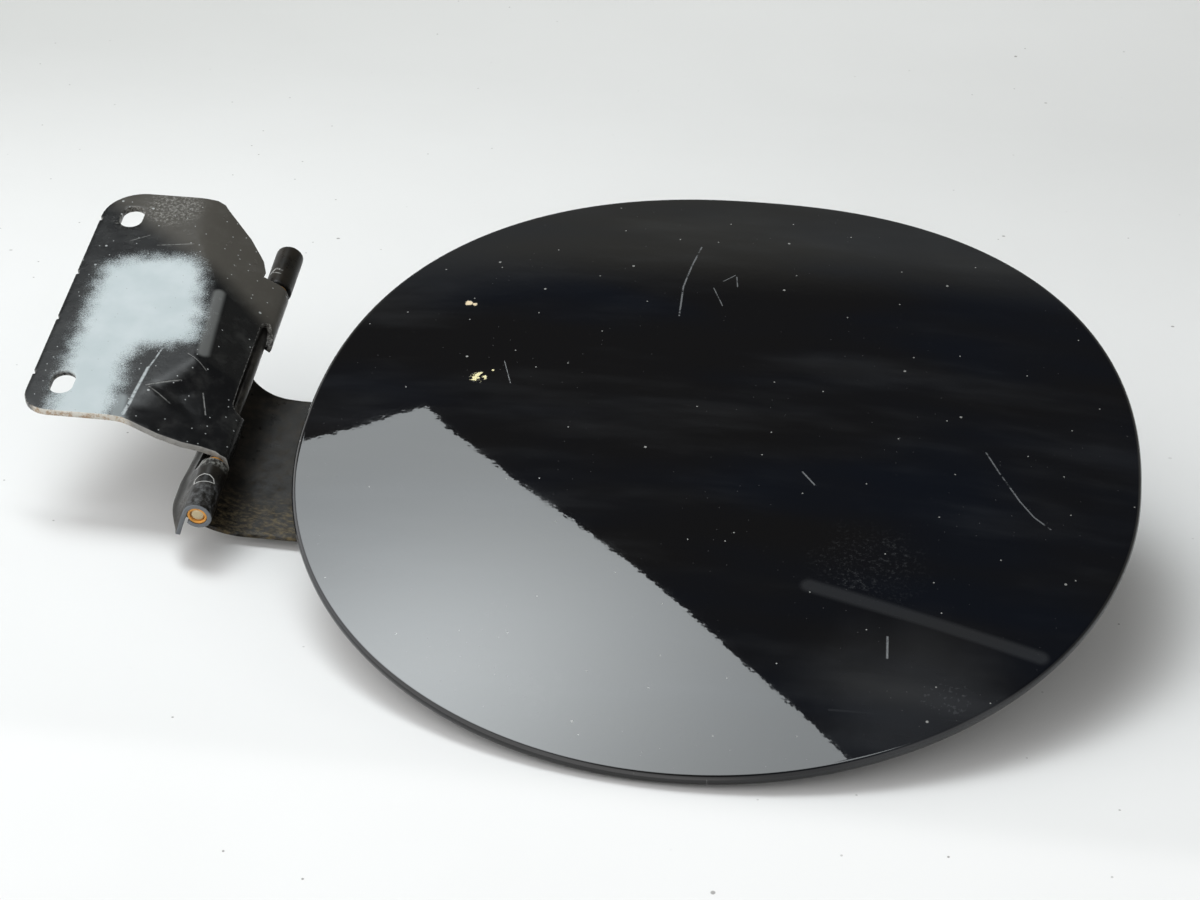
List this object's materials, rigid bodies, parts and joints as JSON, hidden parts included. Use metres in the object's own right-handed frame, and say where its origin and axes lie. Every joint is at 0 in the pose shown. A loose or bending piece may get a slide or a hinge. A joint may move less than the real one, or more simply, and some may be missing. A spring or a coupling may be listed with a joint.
{
  "type": "car fuel door",
  "caption": "Hemmed, domed fuel door panel on a gooseneck hinge arm, pinned to a pressed body bracket with two bolt holes.",
  "frame": {"origin": "on the bracket's outer face, midway between the two bolt holes", "axes": "+X from the pin toward the door, +Y along the pin toward the end where the arm's knuckle is shorter, +Z out of the car through the door's outer face"},
  "size_m": [0.2336, 0.178, 0.0272],
  "materials": {
    "panel_paint": "gloss",
    "inner_paint": "satin",
    "arm_paint": "satin",
    "bracket_paint": "satin",
    "pin_steel": "dull",
    "bush_brass": "dull",
    "striker_paint": "satin"
  },
  "bodies": {
    "bracket": {"hinge_bracket": "bracket_paint", "hinge_pin": "pin_steel"},
    "door": {"outer_panel": "panel_paint", "inner_panel": "inner_paint", "hinge_arm": "arm_paint", "near_bush": "bush_brass", "far_bush": "bush_brass", "latch_striker": "striker_paint"}
  },
  "joints": [
    {"name": "door_hinge", "type": "hinge", "parent": "bracket", "child": "door", "pos_m": [0.0352, -0.01345, -0.0092], "axis": [0, -1, 0], "range_deg": [0, 100]}
  ]
}
